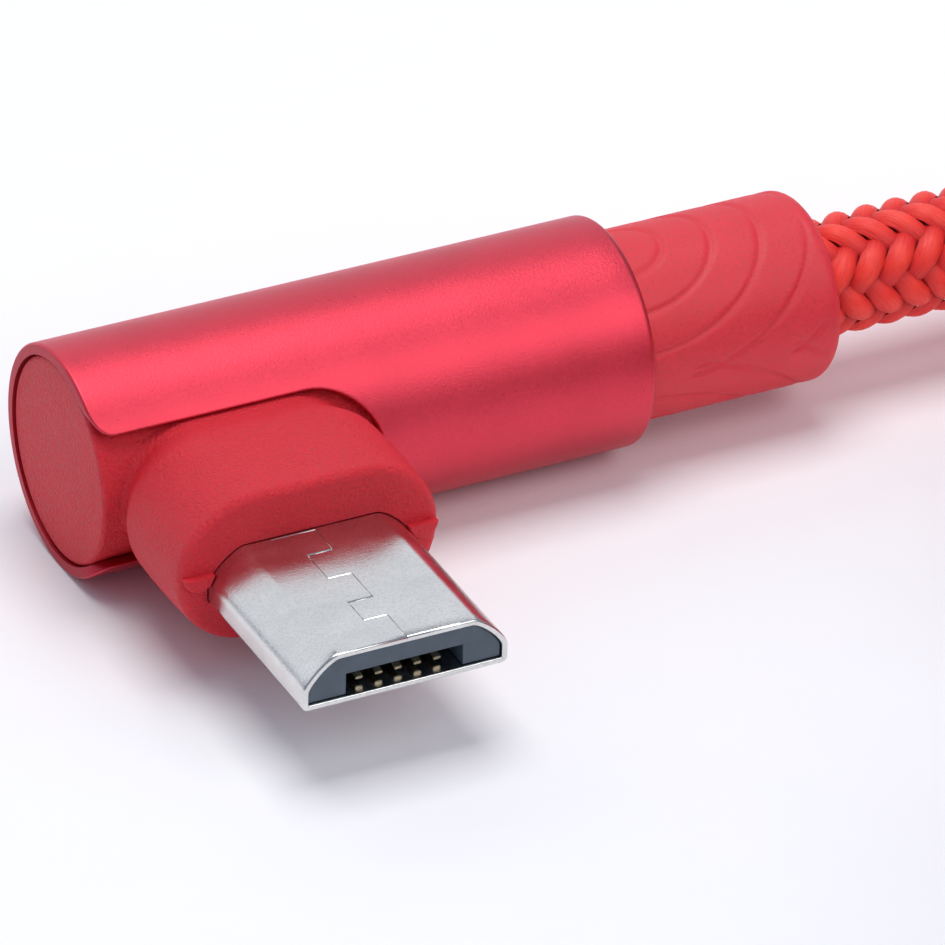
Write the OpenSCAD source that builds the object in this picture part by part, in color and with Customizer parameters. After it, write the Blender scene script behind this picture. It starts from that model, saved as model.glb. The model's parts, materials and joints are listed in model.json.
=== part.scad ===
// Right-angle micro-USB charging cable: a 90 degree micro-B head in an aluminium
// sleeve, a braided cord wound into a flat coil, and a straight USB-A plug.
// +X runs along the sleeve towards the cord, the micro-B plug points to -Y, +Z is up.
// The head rests on z = 0, with the middle of its footprint at the origin.

/* [Sleeve of the head] */
// Outer diameter of the aluminium sleeve
sleeve_d = 7.5; // [7.4:0.05:7.8]
// Length of the aluminium sleeve
sleeve_len = 19; // [18.5:0.1:21]
// Wall of the aluminium sleeve
sleeve_wall = 0.37; // [0.3:0.01:0.4]
// Height of the slot that the neck comes out of
slot_h = 4.68; // [4.6:0.02:4.8]

/* [Neck and micro-B plug] */
// From the closed end of the sleeve to the middle of the plug
plug_x = 4.8; // [4.7:0.05:5]
// From the sleeve's axis to the front face of the neck
neck_reach = 8.1; // [8:0.05:8.4]
// From the sleeve's axis to the mouth of the plug
plug_reach = 14.8; // [14.7:0.05:14.9]
// Height of the plastic neck
neck_h = 5.24; // [5.1:0.02:5.5]
// Width of the plastic neck
neck_w = 8.9; // [8.7:0.05:9.1]
// How far a latch hook stands out below the shell
latch_out = 0.4; // [0.3:0.05:0.4]

/* [Strain reliefs] */
// Outer diameter of both strain reliefs
relief_d = 6.2; // [6:0.05:6.4]
// Length of a strain relief outside its housing
relief_len = 7; // [6:0.1:9]

/* [USB-A plug] */
// Width of the USB-A housing
house_w = 15.4; // [15.2:0.1:16]
// Thickness of the USB-A housing
house_h = 7.5; // [7.4:0.05:8]
// Length of the USB-A housing
house_len = 24; // [23.8:0.1:25]

/* [Cord] */
// Diameter over the braid
cord_d = 3.9; // [3.7:0.05:3.95]

/* [Hidden] */
$fn = 48;
// Gap round a moulded-in piece
snug = 0.02;
// How far a cutting solid runs past what it cuts
past = 1;

// Sleeve
sleeve_r = sleeve_d / 2;
bore_r = sleeve_r - sleeve_wall;
mould_r = bore_r - 0.03;
slot_r = slot_h / 2;
slot_end_x = plug_x + neck_w / 2 + 0.2;
lip_r = 0.7;
rim_chamfer = 0.12;
head_len = sleeve_len + relief_len;
head_shift = [-head_len / 2, (plug_reach - sleeve_r) / 2, sleeve_r];

// Neck: a narrow root in the slot, growing to its full section outside it
root_w = 7.8;
root_h = slot_h - 0.16;
root_reach = 3;
full_reach = 4.6;
face_w = neck_w - 0.4;
face_h = neck_h - 0.3;
edge_reach = neck_reach - 0.35;
slice_t = 0.01;
nub_r = 0.5;
nub_x = face_w / 2 - nub_r;
nub_z = 0.2;
nub_t = 0.35;
nub_proud = 0.2;

// Micro-B shell: its lower corners' radius, the curve of its shoulders, and its hidden rear end
shell_w = 6.85;
shell_h = 1.8;
shell_t = 0.2;
shell_corner = 0.2;
shoulder = [[shell_w / 2, -0.27], [shell_w / 2, 0.08], [2.6, shell_h / 2], [2.2, shell_h / 2]];
shell_back = 4.6;
body_back = shell_back + 0.3;
body_set_back = 0.08;

// Slot for the socket's tongue
tongue_w = 3.9;
tongue_top = 0.05;
tongue_depth = 5.8;

// Spring contacts: from the bend at their root over a crest to the tip
pin_pitch = 0.65;
pin_w = 0.32;
pin_t = 0.12;
pin_z = -0.42;
pin_root = 9.2;
pin_tip = plug_reach - 0.55;
pin_crest = pin_tip - 1;
pin_rise = 0.05;
pin_clear = 0.3;
tail_end = 3.9;

// Latches
latch_x = 2.45;
latch_w = 0.46;
latch_t = 0.3;
latch_z = -0.35;
latch_root = 6.6;
latch_play = 0.06;
latch_room_top = 0.31;
hook_reach = 12.9;
hook_back = 0.12;
hook_nose = 0.35;
hook_len = 1.1;
hook_tip = hook_reach + hook_len - 0.15;
hook_low = -shell_h / 2 - latch_out - latch_z;
window_from = hook_reach - 0.44;
window_to = hook_reach + hook_len;

// Wires and solder in the head
wire_r = 0.4;
wire_bend = 0.9;
wire_start = 3.35;
wire_end_x = 15;
solder_w = 0.56;
solder_len = 0.6;
solder_over = 0.3;
jacket_bore = 1.42;
cable_start_x = 12.6;

// Inner moulding of the head
inner_r = 2.6;
inner_start_x = 1.2;
inner_end_x = 14.2;
inner_reach = neck_reach - 0.9;
inner_w = 7.5;
inner_h = 3.2;
inner_corner = 1.2;
disc_set_back = 0.2;
disc_start = 0.06;

// Strain reliefs: a flange and a neck hold each one in its housing
relief_r = relief_d / 2;
relief_edge = 0.5;
relief_start_x = 14.4;
collar_len = 0.7;
collar_r = relief_r - 0.2;
flange_r = 2.85;
flange_t = 1;
anchor_r = 2.5;
anchor_len = 4.4;

// Coil: the centrelines of its innermost and outermost turns
cord_r = cord_d / 2;
coil_turns_r = [13, 28];
coil_middle = [41.5, -22.5];
coil_layers = 2;
coil_h = coil_layers * cord_d;

// Strap round the coil's turns, which its lower side is pressed into
tie_angle = 160;
tie_w = 8;
tie_t = 0.8;
tie_gap = 0.05;
tie_pressed = 0.3;

// USB-A plug, which lies on the coil
tail_y = coil_middle[1] - 14;
house_z = coil_h + tie_gap + house_h / 2;
relief_x = coil_middle[0] + 10;
usb_w = 12;
usb_h = 4.5;
usb_t = 0.3;
usb_corner = 0.6;
usb_out = 12;
usb_in = 6.7;
house_corner = 3.1;
house_wall = 0.5;
house_x = relief_len;
house_end = house_x + house_len;
shell_a_x = house_end - usb_in;
mouth_x = house_end + usb_out;
window_w = 2.5;
window_len = 2.2;
window_x = mouth_x - 7.4;
window_y = 2.85;
cable_a_end = house_x + 6;
cable_a_bore_x = house_x + 2.5;
cable_a_bore = jacket_bore + 0.3;
inner_a_x = house_x + 4;
inner_a_end = house_end - 3;
inner_a_w = 12.4;
inner_a_h = 5.1;

// Contacts and wires of the USB-A plug
tongue_a_w = 10.9;
tongue_a_h = 1.84;
tongue_a_z = -usb_h / 2 + usb_t + snug;
tongue_a_top = tongue_a_z + tongue_a_h;
pin_a_y = [-3.5, -1, 1, 3.5];
pin_a_w = 1;
pin_a_t = 0.2;
pin_a_proud = 0.02;
outer_pin_end = mouth_x - 2.3;
inner_pin_end = mouth_x - 3.3;
wire_a_y = [-1.25, -0.42, 0.42, 1.25];
fan_x = house_x + 5.4;
solder_a_x = house_x + 14;
solder_a_len = 0.9;
solder_a_w = 0.8;
pin_a_x = solder_a_x + solder_a_len;

// The cord's route from the head to the coil, and from the coil to the USB-A plug
lead_route = [
    [13, 5.525, 3.75], [18, 5.525, 3.75], [22, 5.525, 3.5], [26, 5.5, 2.6],
    [30, 5.5, 2.05], [34, 5.5, 1.95], [38, 5.5, 1.95]
];
tail_route = [
    [41.5, 2.5, 5.85], [51, 0.8, 6.4], [59, -4.2, 7.4], [64.5, -11, 8.7],
    [67, -19, 9.9], [66.5, -26, 10.7], [63, -32.5, 11.3], [58.5, -36, 11.6],
    [55, -36.5, 11.6], [51.5, -36.5, 11.6]
];

function unit(v) = v / norm(v);
function heading(route, i) =
    unit(route[min(i + 1, len(route) - 1)] - route[max(i - 1, 0)]);
function ring(centre, way, sides) = let (
        across = unit(cross(way, [0, 0, 1])),
        up = cross(across, way)
    )
    [for (k = [0 : sides - 1])
        centre + cord_r * (across * cos(360 * k / sides) + up * sin(360 * k / sides))];

// A closed tube along a route
module tube(route, sides = 8) {
    rings = len(route);
    points = [for (i = [0 : rings - 1]) each ring(route[i], heading(route, i), sides)];
    walls = [
        for (i = [0 : rings - 2])
            for (k = [0 : sides - 1])
                let (next = (k + 1) % sides)
                [i * sides + k, i * sides + next, (i + 1) * sides + next, (i + 1) * sides + k]
    ];
    first_cap = [for (k = [sides - 1 : -1 : 0]) k];
    last_cap = [for (k = [0 : sides - 1]) (rings - 1) * sides + k];
    polyhedron(points, concat([first_cap], walls, [last_cap]), convexity = 6);
}

module in_head() { translate(head_shift) children(); }

module in_usb_a() {
    translate([relief_x, tail_y, house_z]) rotate([0, 0, 180]) children();
}

// The middle of the plug, with +X along the sleeve
module at_plug() { translate([plug_x, 0, 0]) children(); }

// The place of each of the five contacts
module at_pins() {
    for (i = [-2 : 2]) translate([plug_x + i * pin_pitch, 0, 0]) children();
}

// The place of each of the four USB-A contacts
module at_pins_a() {
    for (y = pin_a_y) translate([0, y, 0]) children();
}

// A rod along +X from x0 to x1
module rod_x(x0, x1, r) { translate([x0, 0, 0]) rotate([0, 90, 0]) cylinder(h = x1 - x0, r = r); }

// An outline drawn as x and z, drawn out along -Y from y = -from to y = -to
module along_y(from, to) {
    translate([0, -from, 0]) rotate([90, 0, 0]) linear_extrude(to - from) children();
}

// An outline drawn as y and z, drawn out along +X from x0 to x1
module along_x(x0, x1) {
    translate([x0, 0, 0]) rotate([90, 0, 90]) linear_extrude(x1 - x0) children();
}

// A rectangle with its middle at x = 0, from z = low to z = high
module upright(w, low, high) { translate([-w / 2, low]) square([w, high - low]); }

module stadium(w, h) {
    square([w - h, h], center = true);
    for (side = [-1, 1]) translate([side * (w - h) / 2, 0]) circle(r = h / 2);
}

module rounded(w, h, r) {
    square([w - 2 * r, h], center = true);
    square([w, h - 2 * r], center = true);
    for (x = [-1, 1], y = [-1, 1]) translate([x * (w / 2 - r), y * (h / 2 - r)]) circle(r = r);
}

// --- the head's aluminium sleeve ---

module slot_outline() {
    translate([-past, -slot_r]) square([past + slot_end_x - slot_r, slot_h]);
    translate([slot_end_x - slot_r, 0]) circle(r = slot_r);
    for (side = [-1, 1]) difference() {
        translate([-past, side > 0 ? slot_r : -slot_r - lip_r]) square([past + lip_r, lip_r]);
        translate([lip_r, side * (slot_r + lip_r)]) circle(r = lip_r);
    }
}

module sleeve() {
    color("crimson") in_head() difference() {
        rotate([0, 90, 0]) rotate_extrude() polygon([
            [bore_r, 0], [sleeve_r - rim_chamfer, 0], [sleeve_r, rim_chamfer],
            [sleeve_r, sleeve_len - 2 * rim_chamfer], [sleeve_r - 2 * rim_chamfer, sleeve_len],
            [bore_r, sleeve_len]
        ]);
        along_y(1, sleeve_r + past) slot_outline();
    }
}

// --- the micro-B plug ---

function bezier(points, t) =
    (1 - t) ^ 3 * points[0] + 3 * t * (1 - t) ^ 2 * points[1]
    + 3 * t ^ 2 * (1 - t) * points[2] + t ^ 3 * points[3];

// The shell's section: a wide flat bottom, and upper corners that curve in to the flat top
module d_section(inset) {
    right = concat(
        [for (a = [-90 : 15 : -15]) [
            shell_w / 2 - shell_corner * (1 - cos(a)),
            shell_corner * (1 + sin(a)) - shell_h / 2
        ]],
        [for (t = [0 : 0.125 : 1]) bezier(shoulder, t)]
    );
    left = [for (i = [len(right) - 1 : -1 : 0]) [-right[i][0], right[i][1]]];
    offset(delta = -inset) polygon(concat(right, left));
}

// Room round both latches, open at the bottom
module latch_room(from, to, top) {
    at_plug() for (side = [-1, 1]) translate([side * latch_x, 0, 0])
        along_y(from, to) upright(latch_w + 2 * latch_play, -shell_h, top);
}

module micro_shell() {
    color("silver") in_head() difference() {
        at_plug() along_y(shell_back, plug_reach) d_section(0);
        at_plug() along_y(shell_back - past, plug_reach + past) d_section(shell_t);
        latch_room(window_from, window_to, 0);
    }
}

module micro_insulator() {
    color("darkslategray") in_head() difference() {
        at_plug() along_y(body_back, plug_reach - body_set_back) d_section(shell_t + snug);
        at_plug() along_y(plug_reach - tongue_depth, plug_reach)
            upright(tongue_w, -shell_h, tongue_top);
        at_pins() along_y(0, pin_root + pin_clear)
            upright(pin_w + 2 * snug, -shell_h, pin_z + pin_t / 2 + snug);
        latch_room(latch_root - 0.1, window_to, latch_room_top);
    }
}

// The five springs that press on the socket's tongue, ahead of where they bend
module micro_contacts() {
    color("gold") in_head() at_pins() translate([-pin_w / 2, 0, pin_z])
        rotate([90, 0, 90]) linear_extrude(pin_w) polygon([
            [-pin_root - snug, -pin_t / 2], [-pin_root - snug, pin_t / 2],
            [-pin_crest, pin_rise + pin_t / 2], [-pin_tip, -pin_rise + pin_t / 2],
            [-pin_tip, -pin_rise - pin_t / 2], [-pin_crest, pin_rise - pin_t / 2]
        ]);
}

// The fixed tails of the same five strips
module contact_tails() {
    color("goldenrod") in_head() at_pins()
        along_y(tail_end, pin_root) upright(pin_w, pin_z - pin_t / 2, pin_z + pin_t / 2);
}

module latch(side) {
    color("lightgray") in_head() at_plug()
        translate([side * latch_x - latch_w / 2, 0, latch_z])
            rotate([90, 0, 90]) linear_extrude(latch_w) polygon([
                [-latch_root, -latch_t / 2], [-latch_root, latch_t / 2],
                [-hook_tip, latch_t / 2], [-hook_tip, -latch_t / 2],
                [-hook_reach - hook_nose, hook_low], [-hook_reach, hook_low],
                [-hook_reach + hook_back, -latch_t / 2]
            ]);
}

module latch_left() { latch(-1); }
module latch_right() { latch(1); }

// --- wires and solder in the head ---

// Each wire's contact, and the y and z of its run along the sleeve
wire_table = [
    ["power", -2, 0.9, -0.2], ["data_minus", -1, 0.45, 0.68],
    ["data_plus", 0, 0, -0.2], ["ground", 2, -0.9, -0.2]
];
function wire_row(name) = wire_table[search([name], wire_table)[0]];

module bent_wire(row, r) {
    x = plug_x + row[1] * pin_pitch;
    y = row[2];
    translate([0, 0, row[3]]) {
        translate([x, -wire_start, 0]) rotate([-90, 0, 0])
            cylinder(h = y - wire_bend + wire_start, r = r);
        translate([x + wire_bend, y - wire_bend, 0]) rotate([0, 0, 90])
            rotate_extrude(angle = 90) translate([wire_bend, 0]) circle(r = r);
        translate([0, y, 0]) rod_x(x + wire_bend, wire_end_x, r);
    }
}

module wire(name, tint) { color(tint) in_head() bent_wire(wire_row(name), wire_r); }

module wire_power() { wire("power", "red"); }
module wire_ground() { wire("ground", "black"); }
module wire_data_minus() { wire("data_minus", "white"); }
module wire_data_plus() { wire("data_plus", "green"); }

// A block of solder from a contact's tail up to its wire's bare end
module solder(row, gap) {
    translate([plug_x + row[1] * pin_pitch, 0, 0])
        along_y(wire_start - gap, wire_start + solder_len + gap)
            upright(solder_w + 2 * gap, pin_z + pin_t / 2 - gap, row[3] + solder_over + gap);
}

module solder_joints() {
    color("gainsboro") in_head() for (row = wire_table) solder(row, 0);
}

module cable_end() {
    color("orangered") in_head() difference() {
        rod_x(cable_start_x, head_len, cord_r);
        rod_x(cable_start_x - past, wire_end_x + 0.2, jacket_bore);
    }
}

// --- moulded parts of the head ---

module inner_block(gap) {
    rod_x(inner_start_x - gap, inner_end_x + gap, inner_r + gap);
    at_plug() along_y(0, inner_reach + gap)
        rounded(inner_w + 2 * gap, inner_h + 2 * gap, inner_corner + gap);
}

module plug_hollow() {
    at_plug() along_y(shell_back - snug, neck_reach + past) d_section(-snug);
}

module wire_hollows() {
    for (row = wire_table) {
        bent_wire(row, wire_r + snug);
        solder(row, snug);
    }
    at_pins() along_y(tail_end - snug, shell_back)
        upright(pin_w + 2 * snug, pin_z - pin_t / 2 - snug, pin_z + pin_t / 2 + snug);
}

module inner_mould() {
    color("ivory") in_head() difference() {
        inner_block(0);
        plug_hollow();
        wire_hollows();
        rod_x(cable_start_x - snug, inner_end_x + past, cord_r + snug);
    }
}

module neck_slice(reach, w, h) {
    at_plug() along_y(reach - slice_t, reach) stadium(w, h);
}

module neck() {
    at_plug() along_y(0, root_reach) stadium(root_w, root_h);
    hull() {
        neck_slice(root_reach, root_w, root_h);
        neck_slice(full_reach, neck_w, neck_h);
    }
    at_plug() along_y(full_reach, edge_reach) stadium(neck_w, neck_h);
    hull() {
        neck_slice(edge_reach, neck_w, neck_h);
        neck_slice(neck_reach, face_w, face_h);
    }
    at_plug() for (side = [-1, 1]) translate([side * nub_x, 0, 0])
        along_y(neck_reach - nub_t, neck_reach + nub_proud) nub_outline();
}

// A half disc with its flat side up
module nub_outline() {
    translate([0, nub_z]) intersection() {
        circle(r = nub_r);
        translate([-nub_r, -nub_r]) square([2 * nub_r, nub_r]);
    }
}

module plug_mould() {
    color("indianred") in_head() difference() {
        union() {
            rod_x(disc_start, sleeve_len - disc_set_back, mould_r);
            neck();
        }
        inner_block(snug);
        plug_hollow();
        rod_x(inner_end_x - past, sleeve_len, anchor_r + snug);
        rod_x(relief_start_x - snug, relief_start_x + flange_t + snug, flange_r + snug);
        rod_x(sleeve_len - collar_len - snug, sleeve_len, collar_r + snug);
    }
}

// A moulded tube round the cord's end, held in its housing by a flange
module relief_body(start, from, len) {
    difference() {
        union() {
            rod_x(start, from + past, anchor_r);
            rod_x(start, start + flange_t, flange_r);
            translate([from, 0, 0]) rotate([0, 90, 0]) rotate_extrude() polygon(concat(
                [[cord_r, 0], [collar_r, 0], [collar_r, len - relief_len],
                 [relief_r, len - relief_len], [relief_r, len - relief_edge]],
                [for (a = [15 : 15 : 90])
                    [relief_r - relief_edge * (1 - cos(a)), len - relief_edge * (1 - sin(a))]],
                [[cord_r, len]]
            ));
        }
        rod_x(start - past, from + len + past, cord_r + snug / 2);
    }
}

module strain_relief() {
    color("crimson") in_head()
        relief_body(relief_start_x, sleeve_len - collar_len, relief_len + collar_len);
}

// --- the cord ---

module cord_lead() { color("tomato") tube(lead_route); }

module cord_tail() { color("tomato") tube(tail_route); }

module cord_coil() {
    color("tomato") translate([coil_middle[0], coil_middle[1], 0]) rotate_extrude($fn = 96)
        translate([coil_turns_r[0] - cord_r, 0])
            square([coil_turns_r[1] - coil_turns_r[0] + cord_d, coil_h]);
}

// A hook-and-loop strap, pulled tight round the coil's bundle of turns
module coil_tie() {
    inside_w = coil_turns_r[1] - coil_turns_r[0] + cord_d + 2 * tie_gap;
    inside_top = coil_h + tie_gap;
    middle = (coil_turns_r[0] + coil_turns_r[1]) / 2;
    color("darkred") translate([coil_middle[0], coil_middle[1], 0]) rotate([0, 0, tie_angle])
        translate([middle, tie_w / 2, 0]) rotate([90, 0, 0]) linear_extrude(tie_w) difference() {
            upright(inside_w + 2 * tie_t, 0, inside_top + tie_t);
            upright(inside_w, tie_pressed, inside_top);
        }
}

// --- the USB-A plug, built along +X from the end of its strain relief ---

module usb_a_relief() {
    color("crimson") in_usb_a() mirror([1, 0, 0]) translate([-house_x, 0, 0])
        relief_body(-anchor_len, -collar_len, relief_len + collar_len);
}

module usb_a_cable_end() {
    color("orangered") in_usb_a() difference() {
        rod_x(0, cable_a_end, cord_r);
        rod_x(cable_a_bore_x, cable_a_end + past, cable_a_bore);
    }
}

module house_section(inset) {
    rounded(house_w - 2 * inset, house_h - 2 * inset, house_corner - inset);
}

module usb_a_sleeve() {
    color("crimson") in_usb_a() difference() {
        along_x(house_x, house_end) house_section(0);
        along_x(house_x - past, house_end + past) house_section(house_wall);
    }
}

module usb_a_inner_block(gap) {
    along_x(inner_a_x - gap, inner_a_end + gap) rounded(inner_a_w + 2 * gap, inner_a_h + 2 * gap, 1);
}

// The shell's outline, grown by gap
module shell_a_section(gap) { rounded(usb_w + 2 * gap, usb_h + 2 * gap, usb_corner + gap); }

module usb_a_mould() {
    color("indianred") in_usb_a() difference() {
        along_x(house_x + 0.1, house_end - 0.1) house_section(house_wall + 0.03);
        usb_a_inner_block(snug);
        along_x(shell_a_x, house_end + past) shell_a_section(snug);
        rod_x(house_x, inner_a_x + past, anchor_r + snug);
        rod_x(house_x + anchor_len - flange_t - snug, house_x + anchor_len + snug, flange_r + snug);
        rod_x(house_x, house_x + collar_len + snug, collar_r + snug);
    }
}

// One wire, fanned out straight from the cable end to its contact
module usb_a_run(i, r) {
    spread = pin_a_y[i] - wire_a_y[i];
    run = solder_a_x - fan_x - 0.15;
    translate([fan_x, wire_a_y[i], 0]) rotate([0, 0, atan2(spread, run)])
        rod_x(0, norm([spread, run]), r);
}

module usb_a_wire(i, tint) { color(tint) in_usb_a() usb_a_run(i, wire_r - snug); }

module usb_a_wire_power() { usb_a_wire(0, "red"); }
module usb_a_wire_data_minus() { usb_a_wire(1, "white"); }
module usb_a_wire_data_plus() { usb_a_wire(2, "green"); }
module usb_a_wire_ground() { usb_a_wire(3, "black"); }

module solder_a(gap, to) {
    half = solder_a_w / 2 + gap;
    at_pins_a() along_x(solder_a_x - gap, to) upright(2 * half, -half, half);
}

module usb_a_solder() {
    color("gainsboro") in_usb_a() solder_a(0, pin_a_x);
}

module usb_a_inner_mould() {
    color("ivory") in_usb_a() difference() {
        usb_a_inner_block(0);
        for (i = [0 : 3]) usb_a_run(i, wire_r);
        solder_a(snug, inner_a_end);
        at_pins_a() along_x(pin_a_x - snug, inner_a_end + past)
            upright(pin_a_w + 2 * snug, -solder_a_w / 2, solder_a_w / 2);
        rod_x(inner_a_x - past, house_x + anchor_len + snug, flange_r + snug);
        rod_x(inner_a_x, cable_a_end + snug, cord_r + snug);
        along_x(shell_a_x - snug, house_end) shell_a_section(snug);
    }
}

module usb_a_shell() {
    color("silver") in_usb_a() difference() {
        along_x(shell_a_x, mouth_x) shell_a_section(0);
        along_x(shell_a_x - past, mouth_x + past) shell_a_section(-usb_t);
        for (side = [-1, 1]) translate([window_x, side * window_y - window_w / 2, -usb_h])
            cube([window_len, window_w, 2 * usb_h]);
    }
}

module usb_a_insulator() {
    color("white") in_usb_a() difference() {
        union() {
            along_x(shell_a_x + 0.4, house_end - 0.6) shell_a_section(-usb_t - snug);
            along_x(house_end - 0.7, mouth_x - 0.9) upright(tongue_a_w, tongue_a_z, tongue_a_top);
        }
        at_pins_a() along_x(shell_a_x - past, mouth_x - 1.2)
            upright(pin_a_w + 2 * snug, tongue_a_top - pin_a_t, tongue_a_top + 0.1);
    }
}

module usb_a_contacts() {
    color("gold") in_usb_a() for (y = pin_a_y) translate([0, y, 0])
        along_x(pin_a_x, abs(y) < 2 ? inner_pin_end : outer_pin_end)
            upright(pin_a_w, tongue_a_top + pin_a_proud - pin_a_t, tongue_a_top + pin_a_proud);
}

sleeve();
plug_mould();
inner_mould();
micro_shell();
micro_insulator();
micro_contacts();
contact_tails();
latch_left();
latch_right();
solder_joints();
wire_power();
wire_ground();
wire_data_minus();
wire_data_plus();
cable_end();
strain_relief();
cord_lead();
cord_coil();
cord_tail();
coil_tie();
usb_a_relief();
usb_a_cable_end();
usb_a_sleeve();
usb_a_mould();
usb_a_inner_mould();
usb_a_shell();
usb_a_insulator();
usb_a_contacts();
usb_a_solder();
usb_a_wire_power();
usb_a_wire_ground();
usb_a_wire_data_minus();
usb_a_wire_data_plus();
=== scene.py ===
import json
import math

import bmesh
import bpy
import numpy as np
from mathutils import Matrix, Vector


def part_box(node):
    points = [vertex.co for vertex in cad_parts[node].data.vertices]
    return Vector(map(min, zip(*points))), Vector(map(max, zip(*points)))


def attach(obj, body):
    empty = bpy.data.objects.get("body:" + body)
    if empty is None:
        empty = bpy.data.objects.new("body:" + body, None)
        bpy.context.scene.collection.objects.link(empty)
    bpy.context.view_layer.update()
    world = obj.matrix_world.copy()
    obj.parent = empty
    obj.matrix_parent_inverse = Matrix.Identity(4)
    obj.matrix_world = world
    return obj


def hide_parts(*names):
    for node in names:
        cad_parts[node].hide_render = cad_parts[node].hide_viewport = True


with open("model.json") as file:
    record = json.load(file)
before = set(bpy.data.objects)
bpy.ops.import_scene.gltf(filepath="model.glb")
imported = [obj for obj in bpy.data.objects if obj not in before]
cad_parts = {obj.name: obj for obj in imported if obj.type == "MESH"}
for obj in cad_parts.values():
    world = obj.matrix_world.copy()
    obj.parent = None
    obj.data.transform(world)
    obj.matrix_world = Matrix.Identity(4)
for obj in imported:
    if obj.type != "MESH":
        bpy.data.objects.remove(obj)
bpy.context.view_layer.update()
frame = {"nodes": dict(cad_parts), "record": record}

# A charging cable: a right-angle micro-B plug in a red aluminium sleeve, a braided cord
# wound into a coil, and a straight USB-A plug lying on it. Sizes are in millimetres unless
# a comment says otherwise.
MM = 0.001
TURN = 2 * math.pi
scene = bpy.context.scene


def mm_box(node):
    """A CAD node's lowest and highest corners, in millimetres."""
    low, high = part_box(node)
    return np.array(low) / MM, np.array(high) / MM


sleeve_low, sleeve_high = mm_box("sleeve")
SLEEVE_R = (sleeve_high[2] - sleeve_low[2]) / 2
SLEEVE_LEN = sleeve_high[0] - sleeve_low[0]
# The middle of the sleeve's slotted end; the head is modelled from here, with its plug
# pointing to -Y. A distance from the sleeve's axis towards the plug's mouth is a reach.
HEAD = np.array([sleeve_low[0], sleeve_high[1] - SLEEVE_R, sleeve_high[2] - SLEEVE_R])


def in_head(points):
    """Points measured from the middle of the sleeve's slotted end, in the frame's millimetres."""
    return np.asarray(points, float) + HEAD


# --- camera and light ---

def add_camera():
    """The photograph's viewpoint: a long lens over the plug's side of the head."""
    azimuth = math.radians(27.0)
    elevation = math.radians(31.78)
    roll = 0.022
    distance = 320
    target = Vector(in_head([14.425, 0, -4.133]))
    forward = Vector((
        math.sin(azimuth) * math.cos(elevation),
        math.cos(azimuth) * math.cos(elevation),
        -math.sin(elevation),
    ))
    right = Vector((math.cos(azimuth), -math.sin(azimuth), 0))
    up = right.cross(forward)
    tilted_right = math.cos(roll) * right + math.sin(roll) * up
    tilted_up = math.cos(roll) * up - math.sin(roll) * right
    data = bpy.data.cameras.new("camera")
    data.sensor_width = 36
    data.lens = 384.9
    data.clip_start = 0.01
    camera = bpy.data.objects.new("camera", data)
    camera.matrix_world = Matrix((tilted_right, tilted_up, -forward)).transposed().to_4x4()
    camera.location = (target - distance * forward) * MM
    scene.collection.objects.link(camera)
    scene.camera = camera


def add_light(name, place, aim, size, power, tint=(1, 1, 1)):
    """A soft rectangular lamp; place, aim and size are in metres."""
    data = bpy.data.lights.new(name, "AREA")
    data.shape = "RECTANGLE"
    data.size, data.size_y = size
    data.energy = power
    data.color = tint
    lamp = bpy.data.objects.new(name, data)
    lamp.location = place
    lamp.rotation_euler = (Vector(aim) - Vector(place)).to_track_quat("-Z", "Y").to_euler()
    scene.collection.objects.link(lamp)


def add_studio():
    """Three soft lamps, in watts, under an even bluish sky."""
    add_light("overhead", (0.0, 0.05, 0.40), (0, 0, 0), (0.26, 0.24), 0.98, (1, 0.99, 0.95))
    add_light("front", (0.17, -0.29, 0.29), (0, 0, 0.003), (0.34, 0.30), 0.67, (1, 0.99, 0.95))
    add_light("back", (-0.04, 0.44, 0.24), (0, 0, 0.003), (1.10, 0.42), 0.86)
    world = bpy.data.worlds.new("studio")
    world.use_nodes = True
    background = world.node_tree.nodes["Background"]
    background.inputs["Color"].default_value = (0.74, 0.83, 1.0, 1)
    background.inputs["Strength"].default_value = 0.38
    scene.world = world
    scene.view_settings.view_transform = "Standard"


# --- materials ---

FINISHES = {}  # the materials by name


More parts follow.
